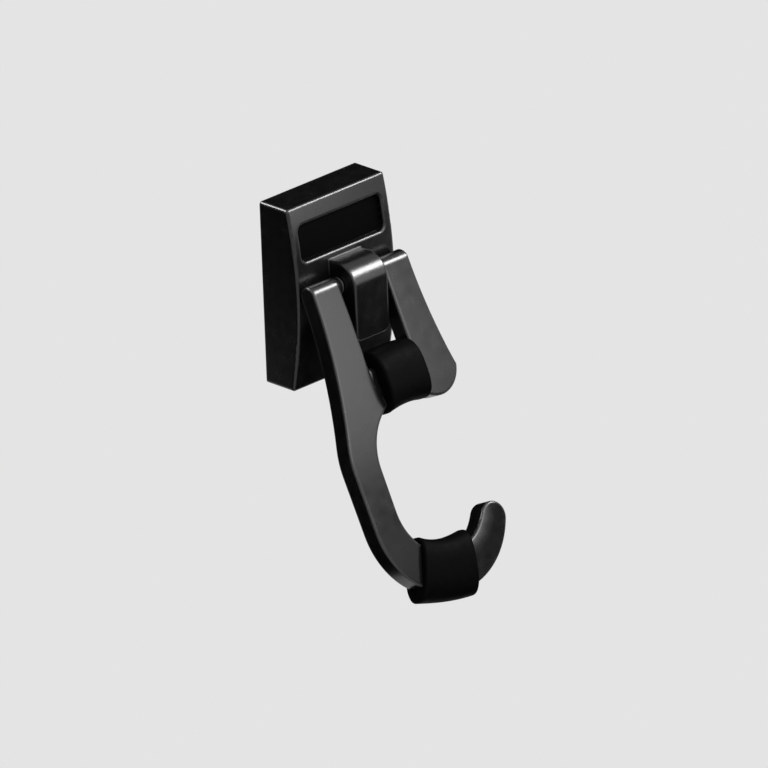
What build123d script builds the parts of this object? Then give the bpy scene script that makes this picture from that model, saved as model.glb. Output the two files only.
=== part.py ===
from build123d import *
import os
from math import acos, asin, atan2, copysign, cos, degrees, pi, radians, sin, sqrt

# Swinging broom hook: a wall block with a hinge lug, a leaning yoke cast with its hook, two rubber grips.
# Millimetres. Origin at the middle of the wall face, X to the right, -Y out of the wall, Z up.

# Wall block
BLOCK_WIDTH = 35.0
BLOCK_HEIGHT = 50.0
BLOCK_EDGE_DEPTH = 9.8
CROWN_RISE = 3.0
BLOCK_EDGE_RADIUS = 0.8

# Shallow bare recess in the crowned front
RECESS_SIDE_MARGIN = 2.7
RECESS_TOP_MARGIN = 5.1
RECESS_HEIGHT = 9.5
RECESS_DEPTH = 1.5
RECESS_CORNER_RADIUS = 1.8
RECESS_RIM_RADIUS = 0.7

# Cored back of the casting, with two bosses tapped for the wall screws
SIDE_WALL = 2.6
FRONT_WALL = 3.0
CORE_CORNER_RADIUS = 2.0
SCREW_SPACING = 30.0
SCREW_BOSS_RADIUS = 4.0
SCREW_HOLE_RADIUS = 1.65
SCREW_HOLE_DEPTH = 7.0
RIB_THICKNESS = 2.4

# Hinge lug, cast with the block
LUG_WIDTH = 11.8
LUG_HEIGHT = 20.4
LUG_NOSE_RADIUS = 6.05
LUG_CORNER_RADIUS = 2.0
LUG_EDGE_RADIUS = 0.5

# Hinge
HINGE_DROP = 22.4
HINGE_STANDOFF = 3.05
PIN_RADIUS = 1.5
PIN_RUNNING_CLEARANCE = 0.05
PIN_END_INSET = 0.2
PIN_END_BEVEL = 0.3
BLIND_WALL = 2.4
LUG_SIDE_CLEARANCE = 0.35
HINGE_BOSS_LENGTH = 1.65
HINGE_BOSS_STEP = 0.5
HEEL_HEIGHT = 4.4
HEEL_GAP = 0.3
HEEL_SIDE_INSET = 1.2

# Yoke arms
ARM_LEAN = 25.0
ARM_THICKNESS = 5.4
ARM_TOP_WIDTH = 9.25
ARM_EDGE_RADIUS = 0.6
FLARE_RADIUS = 134.0
KNEE_DROP = 42.2
KNEE_RADIUS = 24.0
SHORT_ARM_DROP = 29.85
SHORT_ARM_FOOT_RADIUS = 7.8
SHORT_ARM_INNER_RADIUS = 1.2

# Hook at the foot of the long arm
HOOK_CENTRE_SHIFT = -1.25
HOOK_DROP = 61.8
HOOK_OUTER_RADIUS = 22.45
HOOK_WIDTH = 7.7
BOWL_SHIFT = 1.15
BOWL_RISE = 2.75
TIP_RADIUS = 4.05
THROAT_DROP = 47.55
THROAT_RADIUS = 16.1
THROAT_ANGLE = 64.0
SHOULDER_RADIUS = 0.8
SHOULDER_RISE = 10.0

# Rubber grips, moulded on to the yoke
GRIP_BACK_SQUARENESS = 2.6
GRIP_FOOT_SQUARENESS = 3.0
GRIP_BACK_BULGE = 0.5
GRIP_EDGE_BEVEL = 0.5
SECTION_POINTS = 16
UPPER_GRIP_HEIGHT = 16.5
UPPER_GRIP_THICKNESS = 12.8
UPPER_GRIP_SADDLE = 0.8
UPPER_GRIP_DROP = 26.95
UPPER_GRIP_END_GAP = 1.5
CROSS_BAR_HEIGHT = 9.0
CROSS_BAR_EDGE_RADIUS = 1.4
LOWER_GRIP_HEIGHT = 17.2
LOWER_GRIP_THICKNESS = 9.2
LOWER_GRIP_SADDLE = 1.5
LOWER_GRIP_LENGTH = 17.4
LOWER_GRIP_RISE = 3.35
LOWER_GRIP_ANGLE = 13.9
LOWER_GRIP_TILT = 10.8
LOWER_GRIP_LEFT_TURN = 11.0
LOWER_GRIP_RIGHT_TURN = 1.0

# Closeness at which an edge counts as lying on a face
NEAR = 0.01

# Places that follow from the sizes above
CROWN_DEPTH = BLOCK_EDGE_DEPTH + CROWN_RISE
CROWN_RADIUS = ((BLOCK_HEIGHT / 2) ** 2 + CROWN_RISE**2) / (2 * CROWN_RISE)
BLOCK_TOP = BLOCK_HEIGHT / 2
RECESS_WIDTH = BLOCK_WIDTH - 2 * RECESS_SIDE_MARGIN
RECESS_Z = BLOCK_TOP - RECESS_TOP_MARGIN - RECESS_HEIGHT / 2
HINGE_Y = -(CROWN_DEPTH + HINGE_STANDOFF)
HINGE_Z = BLOCK_TOP - HINGE_DROP
ARM_INNER = LUG_WIDTH / 2 + LUG_SIDE_CLEARANCE + HINGE_BOSS_LENGTH
ARM_OUTER = ARM_INNER + ARM_TOP_WIDTH
KNUCKLE_RADIUS = ARM_THICKNESS / 2
HOOK_CENTRE = Vector(HOOK_CENTRE_SHIFT, -HOOK_DROP)
BOWL_CENTRE = HOOK_CENTRE + Vector(BOWL_SHIFT, BOWL_RISE)
HOOK_INNER_RADIUS = HOOK_OUTER_RADIUS - HOOK_WIDTH
HOOK_MIDDLE_RADIUS = (HOOK_OUTER_RADIUS + HOOK_INNER_RADIUS) / 2
YOKE_PLACE = Pos(0, HINGE_Y, HINGE_Z) * Rot(-ARM_LEAN, 0, 0)


def polar(centre, radius, angle):
    """Point of a circle, with the angle in degrees from +X towards +Y of the drawing."""
    return Vector(centre.X + radius * cos(radians(angle)), centre.Y + radius * sin(radians(angle)))


def arc_about(centre, radius, start, end):
    """Arc of a circle from one angle to another, in degrees."""
    middle = polar(centre, radius, (start + end) / 2)
    return ThreePointArc(polar(centre, radius, start), middle, polar(centre, radius, end))


def flare(drop):
    """Distance of an arm's outer edge from the middle, at a drop below the hinge."""
    return ARM_OUTER + FLARE_RADIUS - sqrt(FLARE_RADIUS**2 - drop**2)


def flare_arc(side, drop):
    """Outer edge of an arm, curving outwards from the hinge down to the given drop."""
    points = [Vector(side * flare(d), -d) for d in (0, drop / 2, drop)]
    return ThreePointArc(*points)


def block_profile(inset):
    """Side view of the block, with its crowned front set back by an inset."""
    edge = BLOCK_EDGE_DEPTH - inset
    crown = CROWN_DEPTH - inset
    front = ThreePointArc((-edge, -BLOCK_TOP), (-crown, 0), (-edge, BLOCK_TOP))
    back = Polyline((-edge, BLOCK_TOP), (0, BLOCK_TOP), (0, -BLOCK_TOP), (-edge, -BLOCK_TOP))
    return make_face(front + back)


def on_recess_rim(edge):
    """Whether an edge lies on the crowned front, round the mouth of the recess."""
    for place in (0, 0.5, 1):
        point = edge @ place
        crown_offset = sqrt((point.Y + CROWN_DEPTH - CROWN_RADIUS) ** 2 + point.Z**2) - CROWN_RADIUS
        beside = abs(point.X) - RECESS_WIDTH / 2
        above = abs(point.Z - RECESS_Z) - RECESS_HEIGHT / 2
        if abs(crown_offset) > NEAR or beside > NEAR or above > NEAR:
            return False
    return True


def make_lug():
    """Hinge lug: its nose is round about the hinge, and its lower corners are rounded."""
    top = HINGE_Z + LUG_NOSE_RADIUS
    bottom = top - LUG_HEIGHT
    front = HINGE_Y - LUG_NOSE_RADIUS
    root = -(BLOCK_EDGE_DEPTH - FRONT_WALL)
    side = make_face(Polyline((root, top), (front, top), (front, bottom), (root, bottom), close=True))
    body = extrude(Plane.YZ * side, LUG_WIDTH / 2, both=True)
    nose_edge = body.edges().filter_by(Axis.X).group_by(Axis.Y)[0].sort_by(Axis.Z)[-1]
    body = fillet(nose_edge, LUG_NOSE_RADIUS)
    body = fillet(body.edges().filter_by(Axis.Y).group_by(Axis.Z)[0], LUG_CORNER_RADIUS)
    front_edges = body.edges().filter_by(lambda e: e.center().Y < front + NEAR)
    return fillet(front_edges.sort_by(Axis.Z)[:-1], LUG_EDGE_RADIUS)


def make_block():
    """Wall block: crowned front, bare recess, cored back with tapped bosses, hinge lug."""
    body = extrude(Plane.YZ * block_profile(0), BLOCK_WIDTH / 2, both=True)
    body = fillet(body.edges().filter_by(lambda e: e.center().Y < -BLOCK_EDGE_RADIUS), BLOCK_EDGE_RADIUS)

    pocket = RectangleRounded(RECESS_WIDTH, RECESS_HEIGHT, RECESS_CORNER_RADIUS)
    pocket = extrude(Plane.XZ * Pos(0, RECESS_Z) * pocket, 2 * CROWN_DEPTH)
    body -= pocket - extrude(Plane.YZ * block_profile(RECESS_DEPTH), BLOCK_WIDTH, both=True)
    body = fillet(body.edges().filter_by(on_recess_rim), RECESS_RIM_RADIUS)

    core_depth = BLOCK_EDGE_DEPTH - FRONT_WALL
    core = RectangleRounded(BLOCK_WIDTH - 2 * SIDE_WALL, BLOCK_HEIGHT - 2 * SIDE_WALL, CORE_CORNER_RADIUS)
    body -= extrude(Plane.XZ * core, core_depth)
    for end in (1, -1):
        screw_z = end * SCREW_SPACING / 2
        rib_length = BLOCK_TOP - SIDE_WALL - SCREW_SPACING / 2
        boss = Circle(SCREW_BOSS_RADIUS)
        boss += Pos(0, end * rib_length / 2) * Rectangle(RIB_THICKNESS, rib_length)
        body += extrude(Plane.XZ * Pos(0, screw_z) * boss, core_depth)
        body -= extrude(Plane.XZ * Pos(0, screw_z) * Circle(SCREW_HOLE_RADIUS), SCREW_HOLE_DEPTH)

    body += make_lug()
    bore = Cylinder(PIN_RADIUS + PIN_RUNNING_CLEARANCE, 2 * LUG_WIDTH, rotation=(0, 90, 0))
    return body - Pos(0, HINGE_Y, HINGE_Z) * bore


def knuckle(side):
    """Round head of an arm about the hinge axis."""
    head = Cylinder(KNUCKLE_RADIUS, ARM_TOP_WIDTH, rotation=(0, 90, 0))
    return Pos(side * (ARM_INNER + ARM_TOP_WIDTH / 2), 0, 0) * head


def outline_edges(body):
    """Edges round the front and back faces of an arm, with the ends of its round head."""
    return body.edges().filter_by(lambda e: abs(abs(e.center().Y) - KNUCKLE_RADIUS) < NEAR)


def tip_angles():
    """Angles of the round tip about the centres of the hook's outer and inner arcs, which it touches."""
    outer = HOOK_OUTER_RADIUS - TIP_RADIUS
    inner = HOOK_INNER_RADIUS + TIP_RADIUS
    apart = BOWL_CENTRE - HOOK_CENTRE
    turn = acos((outer**2 + apart.length**2 - inner**2) / (2 * outer * apart.length))
    about_hook = degrees(atan2(apart.Y, apart.X) - turn)
    to_tip = polar(HOOK_CENTRE, outer, about_hook) - BOWL_CENTRE
    return about_hook, degrees(atan2(to_tip.Y, to_tip.X))


def long_arm_face():
    """Outline of the long arm and its hook."""
    tip_turn, touch = tip_angles()
    tip_centre = polar(HOOK_CENTRE, HOOK_OUTER_RADIUS - TIP_RADIUS, tip_turn)
    knee = Vector(-flare(KNEE_DROP), -KNEE_DROP)
    to_knee = knee - HOOK_CENTRE
    knee_angle = degrees(atan2(to_knee.Y, to_knee.X))
    run_in = knee_angle + degrees(acos(HOOK_OUTER_RADIUS / to_knee.length))
    throat_x = BOWL_CENTRE.X - HOOK_INNER_RADIUS
    throat_centre = Vector(throat_x + THROAT_RADIUS, -THROAT_DROP)
    shoulder = polar(throat_centre, THROAT_RADIUS, 180 - THROAT_ANGLE)
    inner_foot = Vector(-ARM_INNER, shoulder.Y + SHOULDER_RISE)

    lines = flare_arc(-1, KNEE_DROP)
    lines += Line(knee, polar(HOOK_CENTRE, HOOK_OUTER_RADIUS, run_in))
    lines += arc_about(HOOK_CENTRE, HOOK_OUTER_RADIUS, run_in, tip_turn + 360)
    lines += arc_about(tip_centre, TIP_RADIUS, tip_turn, touch + 180)
    lines += arc_about(BOWL_CENTRE, HOOK_INNER_RADIUS, touch, -180)
    lines += Line(polar(BOWL_CENTRE, HOOK_INNER_RADIUS, 180), Vector(throat_x, -THROAT_DROP))
    lines += arc_about(throat_centre, THROAT_RADIUS, 180, 180 - THROAT_ANGLE)
    lines += Polyline(shoulder, inner_foot, (-ARM_INNER, 0), (-ARM_OUTER, 0))
    face = make_face(lines)
    corners = face.vertices()
    face = fillet(corners.sort_by_distance(Vertex(knee.X, knee.Y, 0))[:1], KNEE_RADIUS)
    face = fillet(face.vertices().sort_by_distance(Vertex(shoulder.X, shoulder.Y, 0))[:1], SHOULDER_RADIUS)
    return face


def short_arm_face():
    """Outline of the short arm, whose flared outer edge runs into a round foot."""
    lean = -degrees(asin(SHORT_ARM_DROP / FLARE_RADIUS))
    centre = polar(Vector(flare(SHORT_ARM_DROP), -SHORT_ARM_DROP), -SHORT_ARM_FOOT_RADIUS, lean)
    end = -degrees(acos((ARM_INNER - centre.X) / SHORT_ARM_FOOT_RADIUS))
    corner = polar(centre, SHORT_ARM_FOOT_RADIUS, end)
    lines = flare_arc(1, SHORT_ARM_DROP)
    lines += arc_about(centre, SHORT_ARM_FOOT_RADIUS, lean, end)
    lines += Polyline(corner, (ARM_INNER, 0), (ARM_OUTER, 0))
    face = make_face(lines)
    inner = face.vertices().sort_by_distance(Vertex(corner.X, corner.Y, 0))[:1]
    return fillet(inner, SHORT_ARM_INNER_RADIUS)


def make_yoke():
    """Yoke casting: both arms, hook, cross bar and heels, drawn upright and then leaned out."""
    body = None
    for side, face in ((-1, long_arm_face()), (1, short_arm_face())):
        arm = extrude(Plane.XZ * face, ARM_THICKNESS / 2, both=True) + knuckle(side)
        arm = fillet(outline_edges(arm), ARM_EDGE_RADIUS)
        boss = Cylinder(KNUCKLE_RADIUS - HINGE_BOSS_STEP, HINGE_BOSS_LENGTH, rotation=(0, 90, 0))
        arm += Pos(side * (ARM_INNER - HINGE_BOSS_LENGTH / 2), 0, 0) * boss
        body = arm if body is None else body + arm

    bar = Box(2 * ARM_INNER, ARM_THICKNESS, CROSS_BAR_HEIGHT)
    bar = fillet(bar.edges().filter_by(Axis.X), CROSS_BAR_EDGE_RADIUS)
    body += Pos(0, 0, -UPPER_GRIP_DROP) * bar

    body = YOKE_PLACE * body
    for heel in make_heels():
        body += heel
    hole_start = -(ARM_OUTER - BLIND_WALL)
    hole_length = ARM_OUTER + ARM_TOP_WIDTH - hole_start
    hole = Cylinder(PIN_RADIUS, hole_length, rotation=(0, 90, 0))
    return body - Pos(hole_start + hole_length / 2, HINGE_Y, HINGE_Z) * hole


def make_heels():
    """Heels on the backs of the arms that rest on the crowned front and hold the arms out."""
    reach = HINGE_STANDOFF - HEEL_GAP
    profile = Polyline((0, 0), (reach, 0), (reach, -HEEL_HEIGHT + reach / 2), (0, -HEEL_HEIGHT), close=True)
    width = ARM_TOP_WIDTH - 2 * HEEL_SIDE_INSET
    heel = extrude(Plane.YZ * make_face(profile), width / 2, both=True)
    place = ARM_INNER + ARM_TOP_WIDTH / 2
    return [Pos(side * place, HINGE_Y, HINGE_Z) * heel for side in (-1, 1)]


def grip_section(height, thickness, hollow, bulge):
    """Section of a grip: round back up with its bulge, squarer gripping side down with its hollow."""
    points = []
    for step in range(SECTION_POINTS):
        angle = 2 * pi * step / SECTION_POINTS
        up = sin(angle) >= 0
        power = 2 / (GRIP_BACK_SQUARENESS if up else GRIP_FOOT_SQUARENESS)
        reach = height / 2 + (bulge if up else -hollow)
        across = thickness / 2 * copysign(abs(cos(angle)) ** power, cos(angle))
        points.append((across, reach * copysign(abs(sin(angle)) ** power, sin(angle))))
    return make_face(Spline(*points, periodic=True))


def make_grip(start, end, height, thickness, saddle, start_turn=0, end_turn=0):
    """Grip along X with its gripping side down, saddled in the middle, with its two ends turned."""
    sections = []
    for place, middle, turn in ((start, 0, start_turn), ((start + end) / 2, 1, 0), (end, 0, end_turn)):
        plane = Plane(origin=(place, 0, 0), x_dir=(0, 1, 0), z_dir=(1, 0, 0)).rotated((0, turn, 0))
        sections.append(plane * grip_section(height, thickness, middle * saddle, middle * GRIP_BACK_BULGE))
    body = loft(sections)
    ends = [body.faces().sort_by(Axis.X)[index].edges() for index in (0, -1)]
    return chamfer(ends[0] + ends[1], GRIP_EDGE_BEVEL)


block = make_block()
yoke = make_yoke()

upper_start = UPPER_GRIP_END_GAP - ARM_INNER
upper = make_grip(upper_start, ARM_INNER, UPPER_GRIP_HEIGHT, UPPER_GRIP_THICKNESS, UPPER_GRIP_SADDLE)
upper = YOKE_PLACE * Pos(0, 0, -UPPER_GRIP_DROP) * upper - yoke
lower_sizes = (LOWER_GRIP_HEIGHT, LOWER_GRIP_THICKNESS, LOWER_GRIP_SADDLE)
lower_turns = (LOWER_GRIP_RIGHT_TURN, LOWER_GRIP_LEFT_TURN)
lower = make_grip(-LOWER_GRIP_LENGTH / 2, LOWER_GRIP_LENGTH / 2, *lower_sizes, *lower_turns)
lower_middle = polar(HOOK_CENTRE, HOOK_MIDDLE_RADIUS - LOWER_GRIP_RISE, -90 - LOWER_GRIP_ANGLE)
lower_place = Pos(lower_middle.X, 0, lower_middle.Y) * Rot(0, LOWER_GRIP_TILT + 180, 0)
lower = YOKE_PLACE * lower_place * lower - yoke

pin_start = -(ARM_OUTER - BLIND_WALL - PIN_END_INSET)
pin_end = ARM_OUTER - PIN_END_INSET
pin = Cylinder(PIN_RADIUS, pin_end - pin_start, rotation=(0, 90, 0))
pin = chamfer(pin.edges().filter_by(GeomType.CIRCLE), PIN_END_BEVEL)
pin = Pos((pin_start + pin_end) / 2, HINGE_Y, HINGE_Z) * pin

parts = {
    "base_block": block,
    "hook_yoke": yoke,
    "hinge_pin": pin,
    "upper_grip": upper,
    "lower_grip": lower,
}

os.makedirs("parts", exist_ok=True)
for name, solid in parts.items():
    export_step(solid, f"parts/{name}.step")
    print(name, round(solid.volume, 1), len(solid.solids()))
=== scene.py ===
"""Broom hook, dressed.

The solids of the frame get their finishes and the two wall screw holes get their threads.
The hook then hangs in a plain studio, seen from the photograph's viewpoint.
"""

import logging
import math
from dataclasses import dataclass
from enum import Enum

import bpy
from mathutils import Matrix, Vector


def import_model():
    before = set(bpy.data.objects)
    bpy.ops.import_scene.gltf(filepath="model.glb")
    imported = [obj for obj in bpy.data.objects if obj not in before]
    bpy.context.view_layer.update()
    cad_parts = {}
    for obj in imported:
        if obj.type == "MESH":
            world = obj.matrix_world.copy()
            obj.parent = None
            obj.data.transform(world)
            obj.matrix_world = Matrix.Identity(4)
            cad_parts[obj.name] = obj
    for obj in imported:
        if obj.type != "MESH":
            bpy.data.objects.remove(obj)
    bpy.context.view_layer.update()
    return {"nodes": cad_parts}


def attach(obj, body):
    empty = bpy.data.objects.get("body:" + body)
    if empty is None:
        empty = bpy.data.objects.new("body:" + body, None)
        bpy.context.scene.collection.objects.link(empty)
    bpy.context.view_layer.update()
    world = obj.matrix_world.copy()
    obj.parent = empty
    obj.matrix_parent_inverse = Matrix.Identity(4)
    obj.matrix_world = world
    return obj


log = logging.getLogger("broom_hook")

Point = tuple[float, float, float]
Colour = tuple[float, float, float]
Socket = bpy.types.NodeSocket
Material = bpy.types.Material

MM = 0.001
FULL_TURN = 2.0 * math.pi

# Finer octaves in the noise of the patches and of the grain.
PATCH_DETAIL = 4.0
GRAIN_DETAIL = 2.0
# Range of the patches' noise over which the gloss goes from smooth to dull.
GLOSS_RANGE = (0.3, 0.7)
# Rays that look for an edge at each point, to round it off and to paint a highlight along it.
ROUNDING_RAYS = 10
HIGHLIGHT_RAYS = 8
# Openness under the surface, from that of an edge with the painted highlight to that of a flat face.
HIGHLIGHT_RANGE = (0.66, 0.96)
# Share of the painted edge highlight that the edges have in every patch.
LEAST_HIGHLIGHT = 0.4
# Angle that Blender's wave texture goes through per unit of length, in radians.
WAVE_ANGLE = 20.0
# Unevenness of the lathe rings and the finer octaves in it.
RING_WAVER = 0.6
RING_DETAIL = 2.0


class Body(Enum):
    """Rigid bodies of the hook."""

    BASE = "base"
    HOOK = "hook"


class Node(Enum):
    """Solids that come with the frame."""

    BLOCK = "base_block"
    YOKE = "hook_yoke"
    PIN = "hinge_pin"
    UPPER_GRIP = "upper_grip"
    LOWER_GRIP = "lower_grip"


class Slot(Enum):
    """Finish slots of the record."""

    CASTING = "cast_black"
    STEEL = "pin_steel"
    RUBBER = "grip_rubber"


class NodeBoard:
    """A node tree with short calls to add and join nodes."""

    # Places of the two colours and of the result among the sockets of Blender's mix node.
    MIX_FIRST = 6
    MIX_SECOND = 7
    MIX_RESULT = 2

    def __init__(self, tree: bpy.types.NodeTree) -> None:
        """Take over a tree and empty it.

        Args:
            tree: Node tree of a material, a world or a modifier.
        """
        self.tree = tree
        self.tree.nodes.clear()

    def add(
        self, kind: str, inputs: dict[str, object] | None = None, **settings: object
    ) -> bpy.types.Node:
        """Add one node.

        Args:
            kind: Blender's name for the type of node.
            inputs: Value, or socket to join, for each named input.
            **settings: Properties of the node itself.

        Returns:
            The new node.
        """
        node = self.tree.nodes.new(kind)
        for name, value in settings.items():
            setattr(node, name, value)
        for name, value in (inputs or {}).items():
            self.feed(node.inputs[name], value)
        return node

    def feed(self, socket: Socket, value: object) -> None:
        """Set a socket to a value, or join it to another socket.

        Args:
            socket: Input to feed.
            value: Plain value, or an output socket.
        """
        if isinstance(value, Socket):
            self.tree.links.new(value, socket)
        else:
            socket.default_value = value

    def math(self, operation: str, first: object, second: object = 0.0) -> Socket:
        """Work out one operation on numbers.

        Args:
            operation: Blender's name for the operation.
            first: Value or socket.
            second: Value or socket, where the operation has two.

        Returns:
            The result's socket.
        """
        node = self.add("ShaderNodeMath", operation=operation)
        self.feed(node.inputs[0], first)
        self.feed(node.inputs[1], second)
        return node.outputs[0]

    def span(self, first: Socket, second: Socket) -> Socket:
        """Work out a distance from its two sides at right angles.

        Args:
            first: One side.
            second: The other side.

        Returns:
            The distance's socket.
        """
        squares = self.math("ADD", self.math("POWER", first, 2.0), self.math("POWER", second, 2.0))
        return self.math("SQRT", squares)

    def remap(self, value: Socket, given: tuple[float, float], wanted: tuple[float, float]) -> Socket:
        """Stretch one range of values to another, and hold it at its ends.

        Args:
            value: Value to stretch.
            given: Start and end of the range that it has.
            wanted: Start and end of the range that it gets.

        Returns:
            The new value's socket.
        """
        ends = {"From Min": given[0], "From Max": given[1], "To Min": wanted[0], "To Max": wanted[1]}
        return self.add("ShaderNodeMapRange", {"Value": value, **ends}).outputs["Result"]

    def mix(self, share: Socket, first: object, second: object) -> Socket:
        """Mix two colours.

        Args:
            share: Share of the second colour.
            first: Colour with its cover, or socket.
            second: Colour with its cover, or socket.

        Returns:
            The mixed colour's socket.
        """
        node = self.add("ShaderNodeMix", {"Factor": share}, data_type="RGBA")
        self.feed(node.inputs[self.MIX_FIRST], first)
        self.feed(node.inputs[self.MIX_SECOND], second)
        return node.outputs[self.MIX_RESULT]


def covering(colour: Colour) -> tuple[float, float, float, float]:
    """Give a colour with full cover, as Blender's sockets take it."""
    return (*colour, 1.0)


def grey(level: float) -> tuple[float, float, float, float]:
    """Give a neutral colour with full cover."""
    return covering((level, level, level))


def new_material(name: str) -> tuple[Material, NodeBoard]:
    """Make an empty material.

    Args:
        name: Name of the material.

    Returns:
        The material, and the board that its nodes go on.
    """
    made = bpy.data.materials.new(name)
    made.use_nodes = True
    return made, NodeBoard(made.node_tree)


def new_object(
    name: str, points: list[Point], faces: list[tuple[int, ...]], material: Material
) -> bpy.types.Object:
    """Make an object from points and faces.

    Args:
        name: Name of the object.
        points: Corners of its faces.
        faces: Places of each face's corners in the list of points.
        material: Its material.

    Returns:
        The object, in the scene.
    """
    mesh = bpy.data.meshes.new(name)
    mesh.from_pydata(points, [], faces)
    mesh.materials.append(material)
    mesh.update()
    made = bpy.data.objects.new(name, mesh)
    bpy.context.scene.collection.objects.link(made)
    return made


@dataclass(frozen=True)
class Finish:
    """Coating or material of a piece: colour, gloss and grain, each uneven over the surface.

    Attributes:
        name: Name of the material.
        slot: Slot of the record that it belongs to.
        dark: Colour in the darker patches.
        light: Colour in the lighter patches.
        smooth: Roughness where the surface is smoothest.
        rough: Roughness where it is dullest.
        specular: Strength of the surface's own reflection.
        metallic: 1 for bare metal and 0 for a coating or rubber.
        patch: Size of the uneven patches, in metres.
        grain: Size of the fine grain, in metres.
        grain_depth: Depth of the grain, in metres.
        soften: Reach of the soft rounding along its edges, in metres.
        edge_highlight: Lighter colour painted along an outer edge as a highlight, or None for a finish
            without one.
        highlight_reach: Reach of the painted highlight along an outer edge, in metres.
    """

    name: str
    slot: Slot
    dark: Colour
    light: Colour
    smooth: float
    rough: float
    specular: float
    metallic: float
    patch: float
    grain: float
    grain_depth: float
    soften: float
    edge_highlight: Colour | None = None
    highlight_reach: float = 0.6 * MM

    def material(self) -> Material:
        """Make the finish as a material.

        Returns:
            The material, with its colour, gloss and grain worked out over the object's own space.
        """
        made, board = new_material(self.name)
        place = board.add("ShaderNodeTexCoord").outputs["Object"]
        patches = self._noise(board, place, self.patch, PATCH_DETAIL)
        grain = self._noise(board, place, self.grain, GRAIN_DETAIL)
        shade = board.mix(patches, covering(self.dark), covering(self.light))
        # Painted highlight: a lighter colour along the outer edges.
        if self.edge_highlight:
            shade = self._painted_edge_highlight(board, shade, patches)
        edge = board.add("ShaderNodeBevel", {"Radius": self.soften}, samples=ROUNDING_RAYS)
        bump = board.add(
            "ShaderNodeBump",
            {
                "Height": self._height(board, place, grain),
                "Strength": 1.0,
                "Distance": self.grain_depth,
                "Normal": edge.outputs["Normal"],
            },
        )
        shader = board.add(
            "ShaderNodeBsdfPrincipled",
            {
                "Base Color": shade,
                "Roughness": board.remap(patches, GLOSS_RANGE, (self.smooth, self.rough)),
                "Normal": bump.outputs["Normal"],
                "Metallic": self.metallic,
                "Specular IOR Level": self.specular,
            },
        )
        board.add("ShaderNodeOutputMaterial", {"Surface": shader.outputs["BSDF"]})
        return made

    @staticmethod
    def _noise(board: NodeBoard, place: Socket, size: float, detail: float) -> Socket:
        """Add a noise of the given feature size.

        Args:
            board: Tree to add to.
            place: Coordinates.
            size: Size of a feature, in metres.
            detail: Number of finer octaves.

        Returns:
            The noise's value.
        """
        inputs = {"Vector": place, "Scale": 1.0 / size, "Detail": detail}
        return board.add("ShaderNodeTexNoise", inputs).outputs[0]

    def _painted_edge_highlight(self, board: NodeBoard, shade: Socket, patches: Socket) -> Socket:
        """Paint a lighter colour along the outer edges as a highlight, more in some patches than in others.

        Args:
            board: Tree to add to.
            shade: Colour of the surface before the painted edge highlight.
            patches: Value of the uneven patches.

        Returns:
            The colour with its painted edge highlight.
        """
        # Lightens the colour near an outer edge: a painted highlight.
        under = board.add(
            "ShaderNodeAmbientOcclusion",
            {"Distance": self.highlight_reach},
            inside=True,
            only_local=True,
            samples=HIGHLIGHT_RAYS,
        )
        near = board.remap(under.outputs["AO"], HIGHLIGHT_RANGE, (1.0, 0.0))
        share = board.math("MULTIPLY", near, board.math("ADD", patches, LEAST_HIGHLIGHT))
        return board.mix(share, shade, covering(self.edge_highlight))

    def _height(self, board: NodeBoard, place: Socket, grain: Socket) -> Socket:
        """Give the height of the surface, in units of the grain's depth.

        Args:
            board: Tree to add to.
            place: Coordinates.
            grain: Value of the fine grain.

        Returns:
            The height, here the grain alone.
        """
        return grain


@dataclass(frozen=True)
class TurnedFinish(Finish):
    """Finish of a piece that was turned about X on a lathe.

    Attributes:
        axis: Point on the axis that it was turned about.
        ring: Spacing of the lathe rings, in metres.
    """

    axis: Point = (0.0, -15.85 * MM, 2.6 * MM)
    ring: float = 0.30 * MM

    def _height(self, board: NodeBoard, place: Socket, grain: Socket) -> Socket:
        """Add lathe rings to the grain.

        Args:
            board: Tree to add to.
            place: Coordinates.
            grain: Value of the fine grain.

        Returns:
            The height of the surface.
        """
        centred = board.add(
            "ShaderNodeMapping", {"Vector": place, "Location": self.axis}, vector_type="TEXTURE"
        )
        rings = board.add(
            "ShaderNodeTexWave",
            {
                "Vector": centred.outputs[0],
                "Scale": FULL_TURN / (WAVE_ANGLE * self.ring),
                "Distortion": RING_WAVER,
                "Detail": RING_DETAIL,
            },
            wave_type="RINGS",
            rings_direction="X",
        )
        return board.math("ADD", rings.outputs["Fac"], grain)


@dataclass(frozen=True)
class HookFinish(Finish):
    """Finish of the yoke, whose hook end is eased off towards its inner edge.

    Attributes:
        lean: Lean of the yoke from the wall, in degrees.
        centre: Centre of the hook's inner arc.
        inner_radius: Radius of the hook's inner arc.
        ease_width: Width of the eased part, from the inner edge.
        ease_depth: Depth of the easing at the inner edge.
    """

    lean: float = 25.0
    centre: Point = (-0.10 * MM, -40.81 * MM, -50.92 * MM)
    inner_radius: float = 14.75 * MM
    ease_width: float = 4.5 * MM
    ease_depth: float = 0.45 * MM

    def _height(self, board: NodeBoard, place: Socket, grain: Socket) -> Socket:
        """Ease the hook's end off towards its inner edge, under the grain.

        Args:
            board: Tree to add to.
            place: Coordinates.
            grain: Value of the fine grain.

        Returns:
            The height of the surface.
        """
        upright = (math.radians(-self.lean), 0.0, 0.0)
        turned = board.add(
            "ShaderNodeMapping",
            {"Vector": place, "Location": self.centre, "Rotation": upright},
            vector_type="TEXTURE",
        )
        sides = board.add("ShaderNodeSeparateXYZ", {"Vector": turned.outputs[0]}).outputs
        outer = self.inner_radius + self.ease_width
        inward = board.math("SUBTRACT", outer, board.span(sides["X"], sides["Z"]))
        share = board.math("DIVIDE", board.math("MAXIMUM", inward, 0.0), self.ease_width)
        share = board.math("MULTIPLY", share, board.math("GREATER_THAN", sides["X"], 0.0))
        depth = self.ease_depth / self.grain_depth
        return board.math("SUBTRACT", grain, board.math("MULTIPLY", board.math("POWER", share, 2.0), depth))


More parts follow.
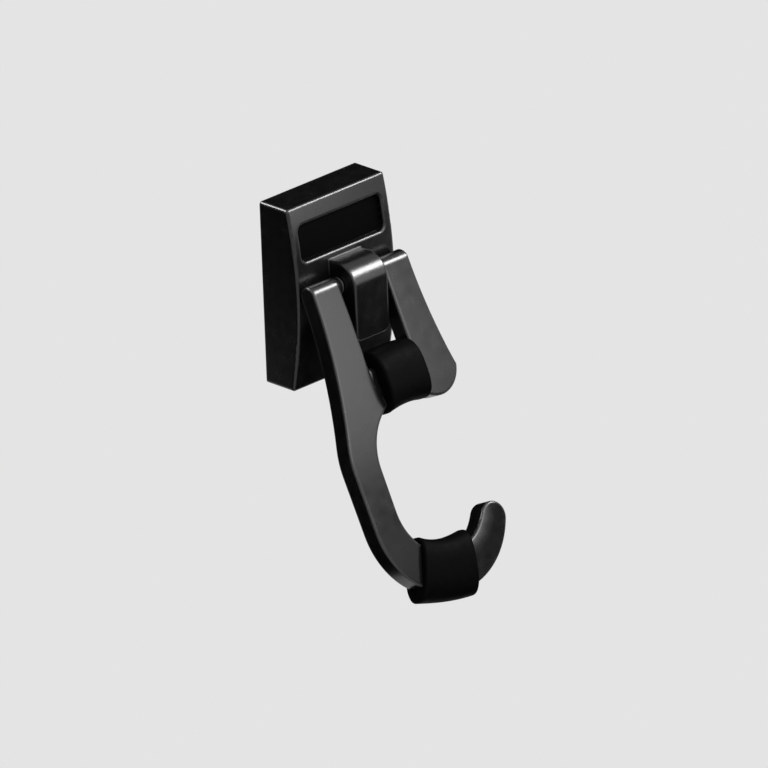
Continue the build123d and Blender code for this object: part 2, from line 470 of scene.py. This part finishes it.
SATIN_BLACK: dict[str, Slot | Colour | float] = {
    "slot": Slot.CASTING,
    "dark": (0.0032, 0.0033, 0.0034),
    "light": (0.0052, 0.0053, 0.0054),
    "smooth": 0.22,
    "rough": 0.28,
    "specular": 0.5,
    "metallic": 0.0,
    "patch": 3.0 * MM,
    "grain": 0.12 * MM,
    "grain_depth": 0.0012 * MM,
}
BLOCK_CASTING = Finish(
    name="satin_black_casting",
    soften=0.6 * MM,
    # Lighter colour painted along the block's edges as a highlight.
    edge_highlight=(0.045, 0.045, 0.046),
    **SATIN_BLACK,
)
YOKE_CASTING = HookFinish(
    name="satin_black_yoke",
    soften=0.5 * MM,
    # Lighter colour painted along the yoke's edges as a highlight.
    edge_highlight=(0.160, 0.160, 0.161),
    **SATIN_BLACK,
)
RECESS_FIELD = Finish(
    name="matte_recess_field",
    slot=Slot.CASTING,
    dark=(0.0008, 0.0009, 0.0009),
    light=(0.0016, 0.0018, 0.0017),
    smooth=0.48,
    rough=0.58,
    specular=0.02,
    metallic=0.0,
    patch=2.0 * MM,
    grain=0.10 * MM,
    grain_depth=0.006 * MM,
    soften=0.4 * MM,
)
GRIP_RUBBER = Finish(
    name="moulded_grip_rubber",
    slot=Slot.RUBBER,
    dark=(0.0014, 0.0016, 0.0015),
    light=(0.0026, 0.0029, 0.0027),
    smooth=0.50,
    rough=0.62,
    specular=0.02,
    metallic=0.0,
    patch=2.2 * MM,
    grain=0.16 * MM,
    grain_depth=0.012 * MM,
    soften=0.8 * MM,
)
TURNED_STEEL = TurnedFinish(
    name="turned_pin_steel",
    slot=Slot.STEEL,
    dark=(0.42, 0.42, 0.43),
    light=(0.55, 0.55, 0.56),
    smooth=0.28,
    rough=0.40,
    specular=0.5,
    metallic=1.0,
    patch=1.2 * MM,
    grain=0.08 * MM,
    grain_depth=0.004 * MM,
    soften=0.2 * MM,
)


def dress(node: bpy.types.Object, body: Body, finish: Finish) -> Material:
    """Give a solid of the frame its finish.

    Args:
        node: Object of the solid.
        body: Body that it rides on.
        finish: Finish that it wears all over.

    Returns:
        The finish's material.
    """
    made = bpy.data.materials.get(finish.name) or finish.material()
    for slot in node.material_slots:
        slot.material = made
    log.info("%s on %s wears %s as %s", node.name, body.value, finish.name, finish.slot.value)
    return made


@dataclass
class WallBlock:
    """Wall block with its bare recess and the threads of its two tapped bosses.

    Attributes:
        node: Solid of the block.
        crown_radius: Radius of the crowned front.
        crown_depth: Distance of the crown's middle from the wall.
        recess_half_width: Half the width of the recess, with its walls.
        recess_half_height: Half the height of the recess, with its walls.
        recess_rise: Height of the recess's middle.
        recess_depth: Least depth of a face's middle below the crown for it to count as recess.
        screw_rise: Height of the upper tapped hole. The lower one mirrors it.
        hole_radius: Radius of a tapped hole.
        thread_pitch: Rise of the thread per turn.
        thread_depth: Depth of the thread.
        thread_turns: Turns of the thread.
        thread_steps: Steps of its mesh per turn.
        thread_foot: Half the width of its foot, in pitches.
        thread_crest: Width of its crest, as a share of its foot's.
        thread_root: Depth of its foot in the wall of the hole, in thread depths.
    """

    node: bpy.types.Object
    crown_radius: float = 105.667 * MM
    crown_depth: float = 12.8 * MM
    recess_half_width: float = 14.9 * MM
    recess_half_height: float = 4.85 * MM
    recess_rise: float = 15.15 * MM
    recess_depth: float = 1.0 * MM
    screw_rise: float = 15.0 * MM
    hole_radius: float = 1.65 * MM
    thread_pitch: float = 0.7 * MM
    thread_depth: float = 0.22 * MM
    thread_turns: int = 9
    thread_steps: int = 40
    thread_foot: float = 0.32
    thread_crest: float = 0.2
    thread_root: float = 0.05

    def build(self, casting: Finish, field: Finish) -> None:
        """Dress the block and cut its threads.

        Args:
            casting: Finish of the casting.
            field: Finish of the recess.
        """
        coat = dress(self.node, Body.BASE, casting)
        self._mark_recess(field)
        for name, rise in (("upper", self.screw_rise), ("lower", -self.screw_rise)):
            thread = self._thread(f"wall_screw_thread_{name}", rise, coat)
            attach(thread, Body.BASE.value)
            log.info("%s on %s has %d turns", thread.name, Body.BASE.value, self.thread_turns)

    def _mark_recess(self, field: Finish) -> None:
        """Give the recess its own finish, by the place of its faces.

        Args:
            field: Finish of the recess.
        """
        group = bpy.data.node_groups.new("recess_field", "GeometryNodeTree")
        board = NodeBoard(group)
        for way in ("INPUT", "OUTPUT"):
            group.interface.new_socket("Geometry", in_out=way, socket_type="NodeSocketGeometry")
        marked = board.add(
            "GeometryNodeSetMaterial",
            {
                "Geometry": board.add("NodeGroupInput").outputs[0],
                "Selection": self._recess_faces(board),
                "Material": field.material(),
            },
        )
        board.add("NodeGroupOutput", {"Geometry": marked.outputs[0]})
        self.node.modifiers.new("recess_field", "NODES").node_group = group
        log.info("recess of %s wears %s", self.node.name, field.name)

    def _recess_faces(self, board: NodeBoard) -> Socket:
        """Tell the faces of the recess from the others.

        Args:
            board: Tree to add to.

        Returns:
            1 for a face of the recess, and 0 for any other.
        """
        place = board.add("GeometryNodeInputPosition").outputs[0]
        sides = board.add("ShaderNodeSeparateXYZ", {"Vector": place}).outputs
        rise = board.math("SUBTRACT", sides["Z"], self.recess_rise)
        out = board.math("SUBTRACT", sides["Y"], self.crown_radius - self.crown_depth)
        inside = board.math("LESS_THAN", sides["Y"], -self.crown_depth / 2)
        for value, limit in (
            (board.math("ABSOLUTE", sides["X"]), self.recess_half_width),
            (board.math("ABSOLUTE", rise), self.recess_half_height),
            (board.span(out, sides["Z"]), self.crown_radius - self.recess_depth),
        ):
            inside = board.math("MULTIPLY", inside, board.math("LESS_THAN", value, limit))
        return inside

    def _thread(self, name: str, rise: float, coat: Material) -> bpy.types.Object:
        """Build the thread of one tapped hole as a closed helical ridge on its wall.

        Args:
            name: Name of the piece.
            rise: Height of the hole.
            coat: Material of the thread.

        Returns:
            The new piece.
        """
        steps = self.thread_steps * self.thread_turns
        root = self.hole_radius + self.thread_root * self.thread_depth
        crest = self.hole_radius - self.thread_depth
        foot = self.thread_foot * self.thread_pitch
        tip = self.thread_crest * foot
        profile = ((root, -foot), (crest, -tip), (crest, tip), (root, foot))
        points: list[Point] = []
        for step in range(steps + 1):
            turns = step / self.thread_steps
            across, up = math.cos(FULL_TURN * turns), math.sin(FULL_TURN * turns)
            depth = foot + self.thread_pitch * turns
            points += [(radius * across, -depth - shift, rise + radius * up) for radius, shift in profile]
        count = len(profile)
        faces = [tuple(range(count)), tuple(reversed(range(steps * count, (steps + 1) * count)))]
        for start in range(0, steps * count, count):
            for side in range(count):
                here, there = start + side, start + (side + 1) % count
                faces.append((there, here, here + count, there + count))
        return new_object(name, points, faces, coat)


@dataclass
class SwingingHook:
    """Yoke with its hook, its hinge pin and the two rubber grips.

    Attributes:
        yoke: Solid of the yoke casting.
        pin: Solid of the hinge pin.
        grips: Solids of the two grips.
    """

    yoke: bpy.types.Object
    pin: bpy.types.Object
    grips: tuple[bpy.types.Object, ...]

    def build(self, casting: Finish, steel: Finish, rubber: Finish) -> None:
        """Dress the moving pieces.

        Args:
            casting: Finish of the yoke.
            steel: Finish of the pin.
            rubber: Finish of the grips.
        """
        dress(self.yoke, Body.HOOK, casting)
        dress(self.pin, Body.HOOK, steel)
        for grip in self.grips:
            dress(grip, Body.HOOK, rubber)


def aim_from(thing: bpy.types.Object, target: Vector, toward: Point, distance: float) -> None:
    """Put a lamp or card at a distance from a point, facing it.

    Args:
        thing: Object to place, which faces along its own -Z.
        target: Point to face.
        toward: Direction from the point to the object.
        distance: Distance from the point, in metres.
    """
    away = Vector(toward).normalized()
    thing.location = target + away * distance
    thing.rotation_mode = "QUATERNION"
    thing.rotation_quaternion = (-away).to_track_quat("-Z", "Y")


def flat_sheet(
    name: str, width: float, height: float, level: float, material: Material
) -> bpy.types.Object:
    """Make a flat rectangular sheet of the stage.

    Args:
        name: Name of the sheet.
        width: Its size along X, in metres.
        height: Its size along Y, in metres.
        level: Its place along Z, in metres.
        material: Its material.

    Returns:
        The sheet's object.
    """
    across, up = width / 2, height / 2
    corners = [(-across, -up, level), (across, -up, level), (across, up, level), (-across, up, level)]
    sheet = new_object(name, corners, [tuple(range(len(corners)))], material)
    return sheet


@dataclass(frozen=True)
class Softbox:
    """Soft rectangular lamp aimed at the hook.

    Attributes:
        name: Name of the lamp.
        toward: Direction from the hook to the lamp.
        distance: Distance from the hook, in metres.
        width: Width of the lamp, in metres.
        height: Height of the lamp, in metres.
        radiance: Brightness of its face, where 1 is white.
        gloss_only: Whether it is only mirrored in the gloss, and adds nothing to the plain light.
    """

    name: str
    toward: Point
    distance: float
    width: float
    height: float
    radiance: float
    gloss_only: bool = False

    def build(self, target: Vector) -> None:
        """Hang the lamp, out of the camera's sight.

        Args:
            target: Point that it shines on.
        """
        lamp = bpy.data.lights.new(self.name, "AREA")
        lamp.shape = "RECTANGLE"
        lamp.size = self.width
        lamp.size_y = self.height
        lamp.energy = self.radiance * math.pi * self.width * self.height
        hung = bpy.data.objects.new(self.name, lamp)
        aim_from(hung, target, self.toward, self.distance)
        hung.visible_camera = False
        hung.visible_diffuse = not self.gloss_only
        bpy.context.scene.collection.objects.link(hung)


@dataclass(frozen=True)
class BlackCard:
    """Black studio card that keeps the pale surroundings out of the casting's reflections.

    Attributes:
        name: Name of the card.
        toward: Direction from the hook to the card.
        distance: Distance from the hook, in metres.
        width: Width of the card, in metres.
        height: Height of the card, in metres.
    """

    name: str
    toward: Point
    distance: float
    width: float
    height: float

    def build(self, target: Vector, cloth: Material) -> None:
        """Stand the card up, out of the camera's sight.

        Args:
            target: Point that it faces.
            cloth: Black cloth on the card.
        """
        card = flat_sheet(self.name, self.width, self.height, 0.0, cloth)
        aim_from(card, target, self.toward, self.distance)
        card.visible_camera = False
        card.visible_shadow = False
        card.visible_diffuse = False


SOFTBOXES = (
    Softbox(
        "top_front_softbox",
        toward=(0.0, -0.72, 0.69),
        distance=0.60,
        width=0.62,
        height=0.48,
        radiance=3.0,
    ),
    Softbox(
        "front_right_softbox",
        toward=(0.068, -0.106, 0.063),
        distance=0.1405,
        width=0.056,
        height=0.078,
        radiance=2.15,
    ),
    Softbox(
        "overhead_right_strip",
        toward=(0.64, -0.44, 0.629),
        distance=0.60,
        width=0.30,
        height=0.14,
        radiance=31.0,
        gloss_only=True,
    ),
    Softbox(
        "back_left_strip",
        toward=(-0.317, 0.66, 0.68),
        distance=0.60,
        width=0.50,
        height=0.10,
        radiance=26.0,
        gloss_only=True,
    ),
    Softbox(
        "low_front_patch",
        toward=(0.0455, -0.0995, -0.0095),
        distance=0.110,
        width=0.036,
        height=0.022,
        radiance=0.9,
        gloss_only=True,
    ),
)
BLACK_CARDS = (
    BlackCard("left_card", toward=(-0.1157, 0.0714, -0.05), distance=0.145, width=0.098, height=0.19),
    BlackCard("back_card", toward=(-0.05, 0.98, 0.15), distance=0.26, width=0.50, height=0.34),
    BlackCard("back_right_card", toward=(0.64, 0.66, 0.30), distance=0.30, width=0.50, height=0.34),
    BlackCard("front_low_card", toward=(0.0447, -0.0804, -0.048), distance=0.104, width=0.112, height=0.16),
    BlackCard("low_right_card", toward=(0.068, -0.041, -0.078), distance=0.111, width=0.080, height=0.06),
    BlackCard("under_left_card", toward=(-0.05, 0.018, -0.09), distance=0.1045, width=0.080, height=0.045),
)


@dataclass(frozen=True)
class Studio:
    """Pale floor and surroundings, soft lamps and black cards.

    Attributes:
        lamps: Lamps to hang.
        cards: Cards to stand up.
        target: Point that the lamps and cards face.
        floor_drop: Distance of the floor below the hook's origin, in metres.
        floor_width: Width of the floor, in metres.
        pale: Brightness of the plain background.
        ambient: Brightness of the surroundings as a soft light.
        floor_share: Share of light that the floor sends back.
        cloth_share: Share of light that the cards' cloth sends back.
    """

    lamps: tuple[Softbox, ...] = SOFTBOXES
    cards: tuple[BlackCard, ...] = BLACK_CARDS
    target: Point = (0.0, -0.030, -0.025)
    floor_drop: float = 0.32
    floor_width: float = 8.0
    pale: float = 0.776
    ambient: float = 0.20
    floor_share: float = 0.75
    cloth_share: float = 0.004

    def build(self) -> None:
        """Set up the floor, the surroundings, the lamps and the cards."""
        flat_sheet("floor", self.floor_width, self.floor_width, -self.floor_drop, self._pale_floor())
        self._surroundings()
        target = Vector(self.target)
        for lamp in self.lamps:
            lamp.build(target)
        cloth = self._black_cloth()
        for card in self.cards:
            card.build(target, cloth)
        log.info("studio has %d lamps and %d cards", len(self.lamps), len(self.cards))

    @staticmethod
    def _seen(board: NodeBoard) -> Socket:
        """Add a test for rays that show the background: straight, mirrored or through glass.

        Args:
            board: Tree to add to.

        Returns:
            1 for such a ray, and 0 for any other.
        """
        path = board.add("ShaderNodeLightPath").outputs
        seen = board.math("MAXIMUM", path["Is Camera Ray"], path["Is Glossy Ray"])
        return board.math("MAXIMUM", seen, path["Is Transmission Ray"])

    def _pale_floor(self) -> Material:
        """Make the pale floor.

        Returns:
            The floor's material.
        """
        made, board = new_material("pale_floor")
        plain = board.add("ShaderNodeEmission", {"Color": grey(self.pale), "Strength": 1.0})
        matte = board.add("ShaderNodeBsdfDiffuse", {"Color": grey(self.floor_share)})
        mixed = board.add("ShaderNodeMixShader", {"Fac": self._seen(board)})
        board.feed(mixed.inputs[1], matte.outputs[0])
        board.feed(mixed.inputs[2], plain.outputs[0])
        board.add("ShaderNodeOutputMaterial", {"Surface": mixed.outputs[0]})
        return made

    def _surroundings(self) -> None:
        """Make the plain pale surroundings."""
        world = bpy.data.worlds.new("pale_surroundings")
        bpy.context.scene.world = world
        world.use_nodes = True
        board = NodeBoard(world.node_tree)
        level = board.remap(self._seen(board), (0.0, 1.0), (self.ambient, self.pale))
        sky = board.add("ShaderNodeBackground", {"Color": grey(1.0), "Strength": level})
        board.add("ShaderNodeOutputWorld", {"Surface": sky.outputs[0]})

    def _black_cloth(self) -> Material:
        """Make the black cloth of the cards.

        Returns:
            The cloth's material.
        """
        made, board = new_material("black_card_cloth")
        cloth = board.add("ShaderNodeBsdfDiffuse", {"Color": grey(self.cloth_share)})
        board.add("ShaderNodeOutputMaterial", {"Surface": cloth.outputs[0]})
        return made


@dataclass(frozen=True)
class Viewpoint:
    """The photograph's view: from the upper left, through a very long lens.

    Attributes:
        azimuth: Angle round the hook from straight in front, in degrees, positive to the right.
        elevation: Angle above the horizon, in degrees.
        roll: Turn of the picture about its middle, in degrees.
        aim: Point in the middle of the picture.
        field: Width of the picture at that point, in metres.
        lens: Focal length, in millimetres.
    """

    azimuth: float = -44.26
    elevation: float = 22.74
    roll: float = -2.21
    aim: Point = (-13.01 * MM, -38.25 * MM, -16.40 * MM)
    field: float = 195.3 * MM
    lens: float = 1000.0

    def build(self) -> None:
        """Set up the camera."""
        turn, lift = math.radians(self.azimuth), math.radians(self.elevation)
        level = math.cos(lift)
        back = Vector((math.sin(turn) * level, -math.cos(turn) * level, math.sin(lift)))
        right = Vector((math.cos(turn), math.sin(turn), 0.0))
        right.rotate(Matrix.Rotation(math.radians(self.roll), 3, back))
        up = back.cross(right)
        camera = bpy.data.cameras.new("camera")
        camera.lens = self.lens
        distance = self.field * self.lens / camera.sensor_width
        held = bpy.data.objects.new("camera", camera)
        pose = Matrix((right, up, back)).transposed().to_4x4()
        pose.translation = Vector(self.aim) + back * distance
        held.matrix_world = pose
        bpy.context.scene.collection.objects.link(held)
        bpy.context.scene.camera = held
        log.info("camera stands %.2f m away", distance)


def main() -> None:
    """Load the frame, dress every piece and set up the studio and the camera."""
    logging.basicConfig(level=logging.INFO, format="%(name)s: %(message)s")
    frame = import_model()
    nodes = frame["nodes"]
    bpy.context.scene.view_settings.view_transform = "Standard"
    WallBlock(nodes[Node.BLOCK.value]).build(BLOCK_CASTING, RECESS_FIELD)
    grips = (nodes[Node.UPPER_GRIP.value], nodes[Node.LOWER_GRIP.value])
    hook = SwingingHook(nodes[Node.YOKE.value], nodes[Node.PIN.value], grips)
    hook.build(YOKE_CASTING, TURNED_STEEL, GRIP_RUBBER)
    Studio().build()
    Viewpoint().build()


if __name__ == "__main__":
    main()
